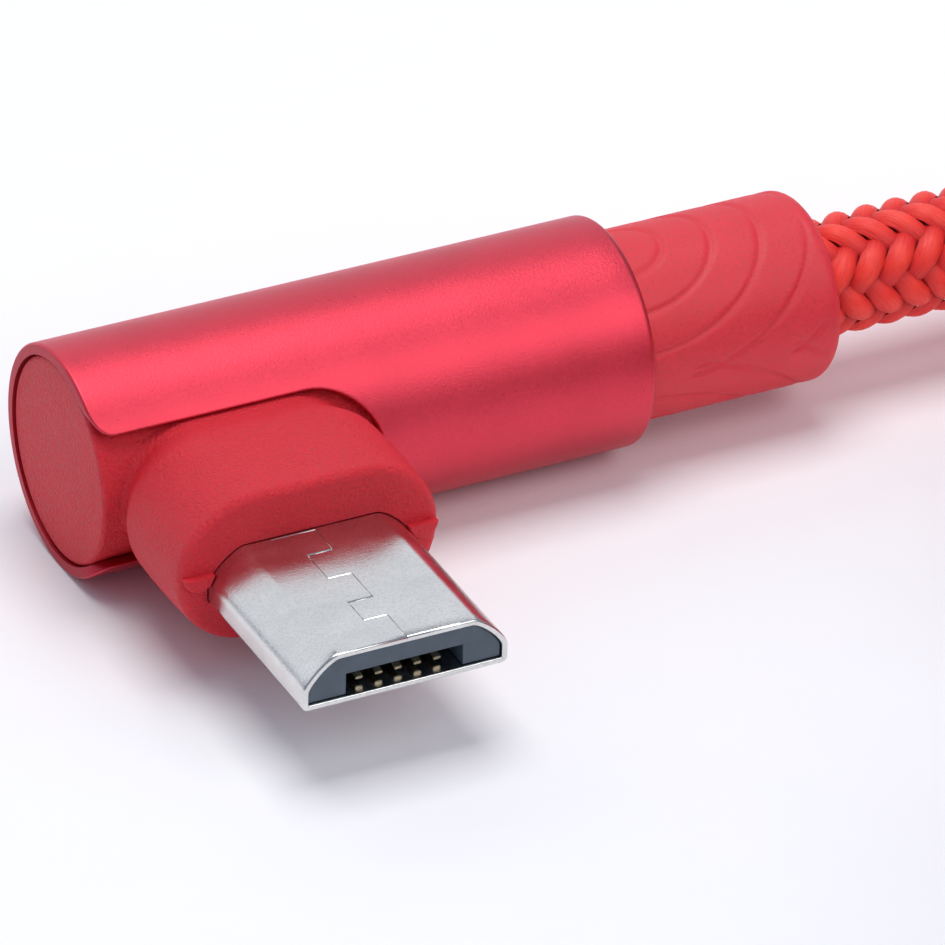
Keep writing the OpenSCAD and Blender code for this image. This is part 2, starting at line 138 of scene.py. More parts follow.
class Recipe:
    """A material in the making: its shader, and the textures that feed it."""

    def __init__(self, name, color, **uniform):
        FINISHES[name] = bpy.data.materials.new(name)
        FINISHES[name].use_nodes = True
        self.tree = FINISHES[name].node_tree
        self.shader = self.tree.nodes["Principled BSDF"]
        self.shader.inputs["Base Color"].default_value = (*color, 1)
        for socket, value in uniform.items():
            self.shader.inputs[socket.replace("_", " ")].default_value = value

    def node(self, kind, **inputs):
        made = self.tree.nodes.new(kind)
        for socket, value in inputs.items():
            target = made.inputs[socket.replace("_", " ")]
            if isinstance(value, bpy.types.NodeSocket):
                self.tree.links.new(value, target)
            else:
                target.default_value = value
        return made

    def place(self, stretch=(1, 1, 1), source="Object"):
        """Surface coordinates in millimetres, stretched along each axis."""
        to_mm = 1 / MM if source == "Object" else 1
        coordinates = self.tree.nodes.new("ShaderNodeTexCoord").outputs[source]
        scale = tuple(to_mm / part for part in stretch)
        return self.node("ShaderNodeMapping", Vector=coordinates, Scale=scale).outputs[0]

    def noise(self, grain, place=None, detail=3, roughness=0.55):
        """Cloudy noise with patches about grain millimetres across."""
        made = self.node(
            "ShaderNodeTexNoise", Vector=place or self.place(),
            Scale=1 / grain, Detail=detail, Roughness=roughness,
        )
        return made.outputs[0]

    def levels(self, value, low, high, to_low, to_high):
        """The value with low to high spread over to_low to to_high."""
        made = self.node("ShaderNodeMapRange", Value=value)
        for index, number in enumerate((low, high, to_low, to_high), 1):
            made.inputs[index].default_value = number
        return made.outputs[0]

    def blend(self, factor, first, second):
        """A colour that goes from first to second with factor."""
        made = self.tree.nodes.new("ShaderNodeMix")
        made.data_type = "RGBA"
        self.tree.links.new(factor, made.inputs[0])
        for index, value in ((6, first), (7, second)):
            if isinstance(value, bpy.types.NodeSocket):
                self.tree.links.new(value, made.inputs[index])
            else:
                made.inputs[index].default_value = (*value, 1)
        return made.outputs[2]

    def patches(self, value, first, second):
        """A colour in soft-edged patches of first and second."""
        return self.blend(self.levels(value, 0.3, 0.7, 0, 1), first, second)

    def color(self, factor, first, second):
        self.tree.links.new(self.blend(factor, first, second), self.shader.inputs["Base Color"])

    def roughness(self, value, low, high):
        output = self.levels(value, 0.3, 0.7, low, high)
        self.tree.links.new(output, self.shader.inputs["Roughness"])

    def bump(self, height, depth, under=None):
        """Relief depth millimetres deep, on top of another bump if under is given."""
        made = self.node("ShaderNodeBump", Height=height, Strength=1.0, Distance=depth * MM)
        if under:
            self.tree.links.new(under, made.inputs["Normal"])
        self.tree.links.new(made.outputs[0], self.shader.inputs["Normal"])
        return made.outputs[0]


def toned(color, amount):
    """A colour made paler or darker."""
    return tuple(amount * part for part in color)


def anodised(name, color, deep, roughness):
    """Bead-blasted aluminium dyed red, with fine grain and dark specks."""
    r = Recipe(name, color, Metallic=1.0, Coat_Weight=0.24, Coat_Roughness=0.5)
    blast = r.noise(0.075, detail=4, roughness=0.7)
    patches = r.noise(2.4, detail=2)
    specks = r.levels(r.noise(0.13, detail=1), 0.74, 0.79, 0.0, 0.5)
    tone = r.blend(r.levels(patches, 0.35, 0.65, 0, 1), toned(color, 0.93), color)
    grained = r.blend(r.levels(blast, 0.25, 0.75, 0.30, 0), tone, deep)
    r.color(specks, grained, deep)
    r.roughness(blast, roughness - 0.06, roughness + 0.06)
    r.bump(blast, 0.011)


def moulded_red(name, light, dark, grain, depth):
    """Soft moulded plastic with a spark-eroded skin."""
    r = Recipe(
        name, light, Subsurface_Weight=0.12, Subsurface_Radius=(1.0, 0.12, 0.08),
        Subsurface_Scale=0.0006, Specular_IOR_Level=0.50,
    )
    skin = r.noise(grain, detail=4, roughness=0.6)
    clouds = r.noise(1.7, detail=2)
    tone = r.patches(clouds, dark, light)
    r.color(r.levels(skin, 0.3, 0.55, 0.4, 0), tone, toned(dark, 0.6))
    r.roughness(skin, 0.40, 0.66)
    r.bump(skin, depth)


def natural_plastic():
    """Cloudy, slightly see-through moulding compound."""
    r = Recipe(
        "clear_plastic", (0.80, 0.77, 0.68), Subsurface_Weight=0.3,
        Subsurface_Radius=(1.0, 0.9, 0.7), Subsurface_Scale=0.001,
    )
    flow = r.noise(1.2, r.place((3, 1, 1)), detail=3)
    r.color(flow, (0.72, 0.69, 0.60), (0.84, 0.82, 0.74))
    r.roughness(flow, 0.3, 0.45)
    r.bump(r.noise(0.2), 0.006)


def drawn_steel(name, color, roughness):
    """Plated sheet steel: satin and finely pitted, with streaks along X and faint handling marks."""
    r = Recipe(name, color, Metallic=1.0)
    streaks = r.noise(0.05, r.place((9, 1, 1)), detail=4, roughness=0.6)
    smears = r.noise(0.9, r.place((2, 1, 1)), detail=3)
    pits = r.noise(0.07, detail=3)
    tone = r.patches(smears, toned(color, 0.90), toned(color, 1.05))
    r.color(r.levels(pits, 0.3, 0.55, 0.5, 0), tone, toned(color, 0.70))
    r.roughness(smears, roughness - 0.03, roughness + 0.05)
    r.bump(pits, 0.0045, r.bump(streaks, 0.0025))


def glass_filled(name, color, speckle):
    """Rigid insulator plastic with the faint mottle of its glass fibres."""
    r = Recipe(name, color, Specular_IOR_Level=0.5)
    fibres = r.noise(0.07, r.place((1, 3, 1)), detail=4, roughness=0.7)
    clouds = r.noise(0.6, detail=2)
    tone = r.patches(clouds, color, speckle)
    r.color(r.levels(fibres, 0.55, 0.75, 0, 0.5), tone, toned(speckle, 1.5))
    r.roughness(fibres, 0.38, 0.55)
    r.bump(fibres, 0.003)


def plating(name, color, worn, roughness, grain):
    """Plated or soldered metal, duller where it is worn."""
    r = Recipe(name, color, Metallic=1.0)
    wear = r.noise(grain, detail=4, roughness=0.6)
    r.color(r.levels(wear, 0.35, 0.7, 0, 1), color, worn)
    r.roughness(wear, roughness, roughness + 0.15)
    r.bump(wear, 0.004)


def insulation(name, color, paler):
    """Glossy wire insulation, streaked along X."""
    r = Recipe(name, color, Coat_Weight=0.2, Coat_Roughness=0.2)
    flow = r.noise(0.5, r.place((4, 1, 1)), detail=3)
    r.color(r.levels(flow, 0.3, 0.7, 0, 1), color, paler)
    r.roughness(flow, 0.25, 0.38)
    r.bump(r.noise(0.1), 0.002)


def nylon_braid():
    """Glossy nylon yarn: filaments run along each strand, with painted shade where it dips under another and
    towards its edges.
    """
    r = Recipe(
        "braid", (0.9, 0.07, 0.045), Sheen_Weight=0.25, Sheen_Roughness=0.4,
        Sheen_Tint=(1, 0.30, 0.22, 1), Specular_IOR_Level=0.45,
        Subsurface_Weight=0.15, Subsurface_Radius=(1, 0.15, 0.1), Subsurface_Scale=0.0004,
    )
    filaments = r.noise(0.055, r.place((14, 1, 1), "UV"), detail=3, roughness=0.6)
    patches = r.noise(0.9, detail=2)
    lift = r.tree.nodes.new("ShaderNodeVertexColor")
    lift.layer_name = "lift"
    tone = r.patches(patches, (0.90, 0.034, 0.028), (1.0, 0.068, 0.042))
    yarn = r.blend(r.levels(filaments, 0.25, 0.5, 0.5, 0), tone, (0.55, 0.012, 0.014))
    # painted shade: the strand turns dark red where it lies low and towards its edges
    r.color(r.levels(lift.outputs[0], 0.40, 0.90, 1, 0), yarn, (0.66, 0.012, 0.014))
    r.roughness(filaments, 0.55, 0.36)
    r.bump(filaments, 0.035)


def braid_core():
    """The cord's jacket, seen only in the gaps of its braid."""
    r = Recipe("braid_core", (0.32, 0.006, 0.010), Specular_IOR_Level=0.3)
    mottle = r.noise(0.2)
    r.color(mottle, (0.24, 0.004, 0.008), (0.36, 0.008, 0.012))
    r.roughness(mottle, 0.5, 0.7)
    r.bump(mottle, 0.01)


def loop_tape():
    """Hook-and-loop tape: fuzzy loops over a coarse weave."""
    r = Recipe("strap", (0.36, 0.012, 0.02), Sheen_Weight=0.6, Sheen_Roughness=0.5)
    loops = r.noise(0.22, detail=5, roughness=0.75)
    weave = r.noise(0.5, r.place((1, 1, 4)), detail=2)
    r.color(r.levels(loops, 0.35, 0.65, 0, 1), (0.22, 0.006, 0.012), (0.48, 0.02, 0.03))
    r.roughness(loops, 0.75, 0.95)
    r.bump(weave, 0.03, r.bump(loops, 0.08))


def paper():
    """The pale floor."""
    r = Recipe("paper", (0.90, 0.895, 0.93), Specular_IOR_Level=0.1)
    pulp = r.noise(3, detail=4)
    r.color(pulp, (0.895, 0.89, 0.93), (0.91, 0.905, 0.94))
    r.roughness(pulp, 0.85, 0.95)


anodised("anodised_red", (0.79, 0.057, 0.096), (0.28, 0.012, 0.025), 0.40)
moulded_red("red_plastic", (0.74, 0.012, 0.030), (0.70, 0.010, 0.025), 0.10, 0.10)
moulded_red("red_relief", (0.74, 0.030, 0.048), (0.70, 0.026, 0.042), 0.10, 0.014)
natural_plastic()
drawn_steel("plug_steel", (0.73, 0.725, 0.71), 0.17)
drawn_steel("latch_steel", (0.70, 0.70, 0.70), 0.28)
glass_filled("dark_insulator", (0.055, 0.078, 0.104), (0.070, 0.097, 0.128))
glass_filled("white_insulator", (0.62, 0.62, 0.60), (0.66, 0.66, 0.64))
plating("gold", (0.88, 0.70, 0.42), (0.76, 0.68, 0.52), 0.26, 0.15)
plating("solder", (0.66, 0.66, 0.68), (0.52, 0.52, 0.53), 0.18, 0.3)
insulation("wire_red", (0.55, 0.015, 0.015), (0.65, 0.03, 0.025))
insulation("wire_black", (0.012, 0.012, 0.012), (0.03, 0.03, 0.03))
insulation("wire_white", (0.72, 0.72, 0.70), (0.80, 0.80, 0.78))
insulation("wire_green", (0.03, 0.26, 0.06), (0.05, 0.34, 0.09))
nylon_braid()
loop_tape()
# a rougher, darker copy of the anodised finish: rough like a cut face, and darker as painted shade
anodised("anodised_shaded_edge", (0.52, 0.022, 0.045), (0.2, 0.01, 0.02), 0.5)
braid_core()
paper()


# --- meshes ---

def shade(mesh, smooth_below):
    """Smooth shading, with edges sharper than smooth_below degrees kept."""
    mesh.shade_smooth()
    mesh.set_sharp_from_angle(angle=math.radians(smooth_below))


def new_mesh(name, points, faces, smooth_below=35):
    """A mesh from points in millimetres."""
    mesh = bpy.data.meshes.new(name)
    mesh.from_pydata((np.asarray(points, float) * MM).tolist(), [], faces)
    shade(mesh, smooth_below)
    return mesh


def new_object(name, mesh):
    made = bpy.data.objects.new(name, mesh)
    scene.collection.objects.link(made)
    return made


def claim(made, nodes, body="root"):
    """Hangs an object on its body and hides the CAD nodes that it stands for."""
    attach(made, body)
    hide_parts(*nodes)
    return made


def add_piece(made, slot, nodes, body="root"):
    """Claims an object that is made of one material."""
    made.data.materials.clear()
    made.data.materials.append(FINISHES[slot])
    return claim(made, nodes, body)


def apply_modifiers(made):
    graph = bpy.context.evaluated_depsgraph_get()
    mesh = bpy.data.meshes.new_from_object(made.evaluated_get(graph))
    made.modifiers.clear()
    made.data = mesh


def combine(made, tool, operation="DIFFERENCE"):
    """Cuts a tool out of an object, or joins it on with UNION, and removes the tool."""
    step = made.modifiers.new("step", "BOOLEAN")
    step.operation = operation
    step.object = tool
    step.solver = "EXACT"
    apply_modifiers(made)
    bpy.data.objects.remove(tool)


def soften(made, width, segments=2, angle=35):
    """Rounds an object's sharp edges to width millimetres, and keeps its flat faces flat."""
    step = made.modifiers.new("soften", "BEVEL")
    step.width = width * MM
    step.segments = segments
    step.limit_method = "ANGLE"
    step.angle_limit = math.radians(angle)
    step.use_clamp_overlap = True
    apply_modifiers(made)
    shade(made.data, max(angle, 50))
    even = made.modifiers.new("even", "WEIGHTED_NORMAL")
    even.keep_sharp = True
    apply_modifiers(made)


def loft(name, rings, loop=False, smooth_below=35):
    """A skin over rings of points. A loop joins its last ring to the first; otherwise the ends are closed."""
    rings = [np.asarray(ring, float) for ring in rings]
    count, sides = len(rings), len(rings[0])
    faces = []
    for i in range(count if loop else count - 1):
        here, there = i * sides, (i + 1) % count * sides
        for k in range(sides):
            n = (k + 1) % sides
            faces.append((here + k, here + n, there + n, there + k))
    if not loop:
        faces.append(tuple(range(sides - 1, -1, -1)))
        faces.append(tuple((count - 1) * sides + k for k in range(sides)))
    made = new_object(name, new_mesh(name, np.vstack(rings), faces, smooth_below))
    outward(made)
    return made


def outward(made):
    """Merges points that coincide and turns every face outward."""
    work = bmesh.new()
    work.from_mesh(made.data)
    bmesh.ops.remove_doubles(work, verts=work.verts, dist=1e-4 * MM)
    bmesh.ops.recalc_face_normals(work, faces=work.faces)
    work.to_mesh(made.data)
    work.free()


def block(name, low, high):
    """A box between two corners, for cutting."""
    x, y, z = zip(low, high)
    rings = [[(x[0], y[0], h), (x[1], y[0], h), (x[1], y[1], h), (x[0], y[1], h)] for h in z]
    return loft(name, rings)


def edge_round(radius, steps=4):
    """(set back, sunk) pairs round a rounded edge, from its start on the outside to its end."""
    quarter = [math.pi / 2 * k / steps for k in range(steps + 1)]
    return [(radius * (1 - math.sin(a)), radius * (1 - math.cos(a))) for a in quarter]


def superrect(w, h, r, per_corner=10):
    """A rectangle with rounded corners, as (across, up) points."""
    points = []
    for quarter, (sx, sy) in enumerate(((1, 1), (-1, 1), (-1, -1), (1, -1))):
        for k in range(per_corner + 1):
            a = math.pi / 2 * (quarter + k / per_corner)
            points.append((sx * (w / 2 - r) + r * math.cos(a), sy * (h / 2 - r) + r * math.sin(a)))
    return points


def along_x(outline, x):
    """An outline drawn as (y, z), at x."""
    return [(x, across, up) for across, up in outline]


def along_y(outline, y):
    """An outline drawn as (x, z), at y."""
    return [(across, y, up) for across, up in outline]


# --- the cord ---

# The cord's route before and after its coil, in metres
LEAD_ROUTE = [
    (0.013, 0.005525, 0.00375), (0.018, 0.005525, 0.00375), (0.022, 0.005525, 0.0035),
    (0.026, 0.0055, 0.0026), (0.030, 0.0055, 0.00205), (0.034, 0.0055, 0.00195),
    (0.038, 0.0055, 0.00195),
]
TAIL_ROUTE = [
    (0.0415, 0.0025, 0.00585), (0.051, 0.0008, 0.0064), (0.059, -0.0042, 0.0074),
    (0.0645, -0.011, 0.0087), (0.067, -0.019, 0.0099), (0.0665, -0.026, 0.0107),
    (0.063, -0.0325, 0.0113), (0.0585, -0.036, 0.0116), (0.055, -0.0365, 0.0116),
    (0.0515, -0.0365, 0.0116),
]
HIDDEN_START = 2.2  # how far each end runs on inside its strain relief
end_low, end_high = mm_box("cable_end")
CORD_D = 3.9
coil_low, coil_high = mm_box("cord_coil")
COIL_MIDDLE = ((coil_low + coil_high) / 2)[:2]
# The coil's centreline by turns: radius and height, the lower layer inward, then the upper outward
COIL_TURNS = [0, 3.5, 4, 7]
COIL_RADII = [28, 14, 13, 25]
COIL_HEIGHTS = [0.5 * CORD_D, 0.5 * CORD_D, 1.5 * CORD_D, 1.5 * CORD_D]
POINTS_PER_TURN = 24


def cord_route():
    """The cord's centreline, with both ends carried on into their strain reliefs."""
    lead, tail = np.array(LEAD_ROUTE) / MM, np.array(TAIL_ROUTE) / MM
    coil = []
    for turn in np.arange(0, COIL_TURNS[-1], 1 / POINTS_PER_TURN):
        r = np.interp(turn, COIL_TURNS, COIL_RADII)
        x, y = COIL_MIDDLE + r * np.array([math.sin(TURN * turn), math.cos(TURN * turn)])
        coil.append(np.array([x, y, np.interp(turn, COIL_TURNS, COIL_HEIGHTS)]))
    before = lead[0] - [HIDDEN_START, 0, 0]
    after = tail[-1] - [HIDDEN_START, 0, 0]
    return np.array([before, *lead, *coil, *tail, after])


def smooth_line(points, per_span=12):
    """A Catmull-Rom curve through the points."""
    padded = np.vstack([2 * points[0] - points[1], points, 2 * points[-1] - points[-2]])
    line = []
    for a, b, c, d in zip(padded, padded[1:], padded[2:], padded[3:]):
        for t in np.arange(per_span) / per_span:
            line.append(
                0.5 * (2 * b + (c - a) * t + (2 * a - 5 * b + 4 * c - d) * t ** 2
                       + (3 * b - a - 3 * c + d) * t ** 3)
            )
    return np.array(line + [points[-1]])


class Line:
    """A curve with its length, and a frame that turns as little as possible along it."""

    def __init__(self, points):
        step = np.linalg.norm(np.diff(points, axis=0), axis=1)
        self.at = np.concatenate([[0], np.cumsum(step)])
        self.length = self.at[-1]
        self.points = points
        way = np.gradient(points, self.at, axis=0)
        way /= np.linalg.norm(way, axis=1)[:, None]
        up = np.array([0.0, 0.0, 1.0])
        ups = []
        for direction in way:
            up = up - direction * (up @ direction)
            up /= np.linalg.norm(up)
            ups.append(up)
        self.up = np.array(ups)
        self.across = np.cross(way, self.up)

    def surface(self, along, angle, radius):
        """Points at a distance along the curve, an angle round it and a radius from it."""
        def read(values):
            return np.stack([np.interp(along, self.at, values[:, k]) for k in range(3)], axis=-1)
        ring = np.cos(angle)[..., None] * read(self.up) + np.sin(angle)[..., None] * read(self.across)
        return read(self.points) + radius[..., None] * ring


PITCH = 8.4  # length of one full turn of a strand
STRANDS = 8  # in each direction
STRAND_W = 0.84
UNDER_R = 1.30  # a strand's edge where it dips under the others
OVER_R = 1.70  # and where it passes over them
CREST = 0.25  # its middle stands this far above its edges
LEAN_R = 1.75  # where its lean is measured
CORE_R = 1.44
CORE_SIDES = 8
CORE_STEP = 2.4
FINE_LENGTH = 10  # the stretch by the head that shows up close


def strand_grid(line, stations, number, hand, across_count):
    """One strand's skin: points[station, across], its map in millimetres, and how high it lies, which the
    braid's material turns into painted shade.

    Strands of the two hands cross twice STRANDS times a turn, two over and two under.
    """
    beat = 2 * STRANDS * stations / PITCH
    phase = beat + 2 * number - 0.5 if hand > 0 else 2 * number - beat - 0.5
    height = hand * np.cos(TURN * phase / 4)
    base = UNDER_R + (OVER_R - UNDER_R) * (height + 1) / 2
    lean = math.atan2(TURN * LEAN_R, PITCH)
    u = np.linspace(-1, 1, across_count)
    offset = u * STRAND_W / 2
    along = np.clip(stations[:, None] - hand * offset * math.sin(lean), 0, line.length)
    angle = hand * TURN * stations[:, None] / PITCH + TURN * number / STRANDS
    angle = angle + offset * math.cos(lean) / base[:, None]
    radius = base[:, None] + CREST * (1 - np.abs(u) ** 2.2)
    along, angle, radius = np.broadcast_arrays(along, angle, radius)
    points = line.surface(along, angle, radius)
    run = np.broadcast_to(stations[:, None] / math.cos(lean), along.shape)
    apart = 3 * number + 30 * (hand + 1)  # keeps each strand's pattern its own
    side = np.broadcast_to(offset + apart, along.shape)
    # lowest where the strand dips under another and at its edges; the material paints shade there
    lift = (height[:, None] + 1) / 2 * (1 - 0.45 * u ** 2)
    return points, np.stack([run, side], axis=-1), np.clip(lift, 0, 1)


def grid_faces(rows, columns, first):
    """Four-sided faces over a grid of points that starts at the first index."""
    index = first + np.arange(rows * columns).reshape(rows, columns)
    return np.stack(
        [index[:-1, :-1], index[:-1, 1:], index[1:, 1:], index[1:, :-1]], axis=-1
    ).reshape(-1, 4)


def braided_tube(name, line, zones):
    """A round braid over a core. Each zone is (from, to, step, points across a strand)."""
    points, maps, lifts, faces = [], [], [], []
    total = 0
    for start, end, step, across in zones:
        stations = np.linspace(start, end, max(2, round((end - start) / step) + 1))
        for hand in (1, -1):
            for number in range(STRANDS):
                skin, chart, lift = strand_grid(line, stations, number, hand, across)
                quads = grid_faces(len(stations), across, total)
                faces.append(quads if hand > 0 else quads[:, ::-1])
                points.append(skin.reshape(-1, 3))
                maps.append(chart.reshape(-1, 2))
                lifts.append(lift.ravel())
                total += len(points[-1])
    strand_faces = sum(len(part) for part in faces)
    stations = np.linspace(zones[0][0], zones[-1][1], max(4, round(line.length / CORE_STEP)))
    angle = np.linspace(0, TURN, CORE_SIDES + 1)
    along, angle = np.meshgrid(stations, angle, indexing="ij")
    points.append(line.surface(along, angle, np.full(along.shape, CORE_R)).reshape(-1, 3))
    maps.append(np.stack([along, angle], axis=-1).reshape(-1, 2))
    lifts.append(np.zeros(along.size))
    faces.append(grid_faces(len(stations), CORE_SIDES + 1, total))
    made = braid_object(name, np.vstack(points), np.vstack(faces), np.vstack(maps), np.concatenate(lifts))
    made.data.polygons.foreach_set(
        "material_index", (np.arange(len(made.data.polygons)) >= strand_faces).astype(np.int32)
    )
    return made


def braid_object(name, points, faces, maps, lifts):
    """An object from arrays, with the map and the lift that the braid's material reads for its painted shade.
    """
    mesh = bpy.data.meshes.new(name)
    mesh.vertices.add(len(points))
    mesh.vertices.foreach_set("co", (points * MM).astype(np.float32).ravel())
    mesh.loops.add(faces.size)
    mesh.loops.foreach_set("vertex_index", faces.astype(np.int32).ravel())
    mesh.polygons.add(len(faces))
    mesh.polygons.foreach_set("loop_start", np.arange(0, faces.size, 4, dtype=np.int32))
    mesh.update(calc_edges=True)
    mesh.uv_layers.new(name="strands").data.foreach_set(
        "uv", maps[faces.ravel()].astype(np.float32).ravel()
    )
    shade = mesh.color_attributes.new(name="lift", type="FLOAT_COLOR", domain="POINT")
    shade.data.foreach_set("color", np.repeat(lifts, 4).astype(np.float32))
    mesh.shade_smooth()
    mesh.materials.append(FINISHES["braid"])
    mesh.materials.append(FINISHES["braid_core"])
    return new_object(name, mesh)


def cord_stub(name, x0, x1, y, z, node):
    """The cord's end inside a moulding, where its braid is cut back."""
    line = Line(np.array([(x, y, z) for x in np.linspace(x0, x1, 12)]))
    return claim(braided_tube(name, line, [(0, line.length, PITCH / 32, 3)]), [node])


def add_cord():
    """The whole cord."""
    line = Line(smooth_line(cord_route()))
    braid = braided_tube("cord", line, [
        (0, FINE_LENGTH, PITCH / 64, 7), (FINE_LENGTH, line.length, PITCH / 23, 3),
    ])
    claim(braid, ["cord_lead", "cord_coil", "cord_tail"])


def add_cord_ends():
    """Both hidden ends; the one in the USB-A plug is given back."""
    cord_stub("cable_end_braid", end_low[0], end_high[0] - HIDDEN_START, HEAD[1], HEAD[2], "cable_end")
    low, high = mm_box("usb_a_cable_end")
    y, z = (low[1] + high[1]) / 2, (low[2] + high[2]) / 2
    return cord_stub("usb_a_cable_end_braid", low[0], high[0] - HIDDEN_START, y, z, "usb_a_cable_end")


# --- the head: sleeve ---

shell_low, shell_high = mm_box("micro_shell")
PLUG_X = (shell_low[0] + shell_high[0]) / 2 - HEAD[0]
NECK_W = 8.9
SLEEVE_WALL = 0.37
SLOT_R = 2.34  # half the slot's height
SLOT_END = PLUG_X + NECK_W / 2 + 0.2
LIP_R = 0.7  # round corners where the slot opens at the sleeve's end
SLEEVE_EDGE = 0.09  # rounding of the slotted edges
RIM_EDGE = 0.24  # rounding of the rim by the strain relief


def sleeve_rows(inset):
    """(x, half height of the slot) along the sleeve, with the slot's edge moved back by inset."""
    rows = []
    for t in np.linspace(0, math.pi / 2, 9):
        lip = LIP_R - inset
        rows.append((LIP_R - lip * math.cos(t), SLOT_R + LIP_R - lip * math.sin(t)))
    middle = SLOT_END - SLOT_R
    for x in np.linspace(LIP_R, middle, 12)[1:]:
        rows.append((x, SLOT_R + inset))
    for t in np.linspace(0, math.pi / 2, 17)[1:]:
        rows.append((middle + (SLOT_R + inset) * math.sin(t), (SLOT_R + inset) * math.cos(t)))
    return rows


def around_sleeve(x, radius, angle):
    """Points at x, a radius from the sleeve's axis, at angles from -Y."""
    return np.stack([np.full(len(angle), x), -radius * np.cos(angle), radius * np.sin(angle)], axis=-1)


def sleeve_points(inset, sunk, columns):
    """A grid over the slotted part of the sleeve, sunk below its outside."""
    rho = SLEEVE_R - sunk
    grid = []
    for x, half in sleeve_rows(inset):
        half = 0 if half < 1e-9 else half
        start = math.asin(half / rho)
        angle = start + (TURN - 2 * start) * np.linspace(0, 1, columns)
        grid.append(around_sleeve(x, rho, angle))
    return np.array(grid)


def plain_rings(stations, columns):
    """Closed rings past the slot; stations are (x, sunk) pairs."""
    angle = np.linspace(0, TURN, columns)
    return np.array([around_sleeve(x, SLEEVE_R - sunk, angle) for x, sunk in stations])


def slot_loop(grid):
    """The edge of a slotted grid: round the left rim, and along the slot and back."""
    return np.vstack([grid[0], grid[1:, -1], grid[-2:0:-1, 0]])


def build_sleeve():
    """The slotted tube, as sheets for its outside, inside, far rim and the slot's edge."""
    columns = 193
    outer = sleeve_points(SLEEVE_EDGE, 0, columns)
    inner = sleeve_points(0, SLEEVE_WALL, columns)
    right = [(SLEEVE_LEN - back, sunk) for back, sunk in edge_round(RIM_EDGE, 6)]
    start = outer[-1, 0, 0]
    outside = plain_rings(
        [(x, 0) for x in np.linspace(start, right[0][0], 14)] + right[1:], columns
    )
    start = inner[-1, 0, 0]
    inside = plain_rings([(x, SLEEVE_WALL) for x in np.linspace(start, SLEEVE_LEN, 8)], columns)
    loops = [slot_loop(sleeve_points(back, sunk, columns)) for back, sunk in edge_round(SLEEVE_EDGE)]
    loops.append(slot_loop(inner))
    edge = np.array([np.vstack([ring, ring[:1]]) for ring in loops])
    rim = np.array([outside[-1], inside[-1]])
    points, faces, total = [], [], 0
    for sheet in (outer, outside, inner, inside, rim, edge):
        faces += grid_faces(*sheet.shape[:2], total).tolist()
        points.append(sheet.reshape(-1, 3))
        total += len(points[-1])
    made = new_object("sleeve_body", new_mesh("sleeve_body", in_head(np.vstack(points)), faces))
    outward(made)
    shade(made.data, 40)
    add_piece(made, "anodised_red", ["sleeve"])
    made.data.materials.append(FINISHES["anodised_shaded_edge"])
    # the slot's cut faces, the inside and the slotted end's rim take the darker copy, which paints shade on
    # them
    for face in made.data.polygons:
        x, y, z = np.array(face.center) / MM - HEAD
        cut = math.hypot(y, z) < SLEEVE_R - 0.5 * SLEEVE_EDGE
        face.material_index = 1 if cut and x < SLEEVE_LEN - RIM_EDGE else 0
    return made


# --- the head: red moulding with its neck ---

mould_low, mould_high = mm_box("plug_mould")
MOULD_R = (mould_high[2] - mould_low[2]) / 2
NUB_PROUD = 0.2
NECK_REACH = HEAD[1] - mould_low[1] - NUB_PROUD
NECK_H = 5.24
ROOT_W = 7.8  # the neck at its root, where it leaves the sleeve
ROOT_H = 4.52
FRONT_R = 0.3  # rounding of its front edge
FLARE = 0.32  # fillet where it meets the round body
FACE_X = 0.06  # the end face lies this far inside the sleeve
CORE_END = SLEEVE_LEN - 0.2


def stadium(w, h, per_end=24, per_side=12):
    """A flat-sided oval as (across, up) points."""
    r = h / 2
    run = w / 2 - r
    points = []
    for side in (1, -1):
        for k in range(per_end + 1):
            a = -math.pi / 2 + math.pi * k / per_end
            points.append((side * (run + r * math.cos(a)), side * r * math.sin(a)))
        for k in range(1, per_side):
            points.append((side * run * (1 - 2 * k / per_side), side * r))
    return points


def neck_size(reach):
    """The neck's width and height at a distance from the sleeve's axis."""
    grow = min(1, max(0, (reach - 3.1) / 1.4))
    grow = grow * grow * (3 - 2 * grow)
    bulge = 0.10 * math.sin(math.pi * min(1, max(0, (reach - 4.2) / 3.6)))
    return (ROOT_W + (NECK_W - 0.08 - ROOT_W) * grow + bulge,
            ROOT_H + (NECK_H - 0.08 - ROOT_H) * grow + bulge)


def neck_rings():
    """The neck's sections from inside the round body, over the fillet, to its rounded front."""
    rings = []
    for reach in [0.5, 1.5, *np.arange(2.2, 4.7, 0.07), *np.linspace(4.7, NECK_REACH - FRONT_R, 14)]:
        w, h = neck_size(reach)
        ring = []
        for across, up in stadium(w, h):
            above = max(0, reach - math.sqrt(max(0, MOULD_R ** 2 - up ** 2)))
            if above < FLARE:
                spread = FLARE * (1 - math.sqrt(1 - (1 - above / FLARE) ** 2))
                across += math.copysign(spread, across) if abs(across) > w / 2 - h / 2 else 0
            ring.append((PLUG_X + across, -reach, up))
        rings.append(ring)
    w, h = neck_size(NECK_REACH - FRONT_R)
    for back, sunk in edge_round(FRONT_R, 6)[1:]:
        outline = [(PLUG_X + across, up) for across, up in stadium(w - 2 * sunk, h - 2 * sunk)]
        rings.append(along_y(outline, -(NECK_REACH - back)))
    return [in_head(ring) for ring in rings]


def lathe(name, profile):
    """A turned solid along the sleeve's axis; the profile is (x, radius) pairs."""
    turn = [TURN * k / 96 for k in range(96)]
    circle = np.array([(math.cos(a), math.sin(a)) for a in turn])
    return loft(name, [in_head(along_x(max(radius, 1e-3) * circle, x)) for x, radius in profile])


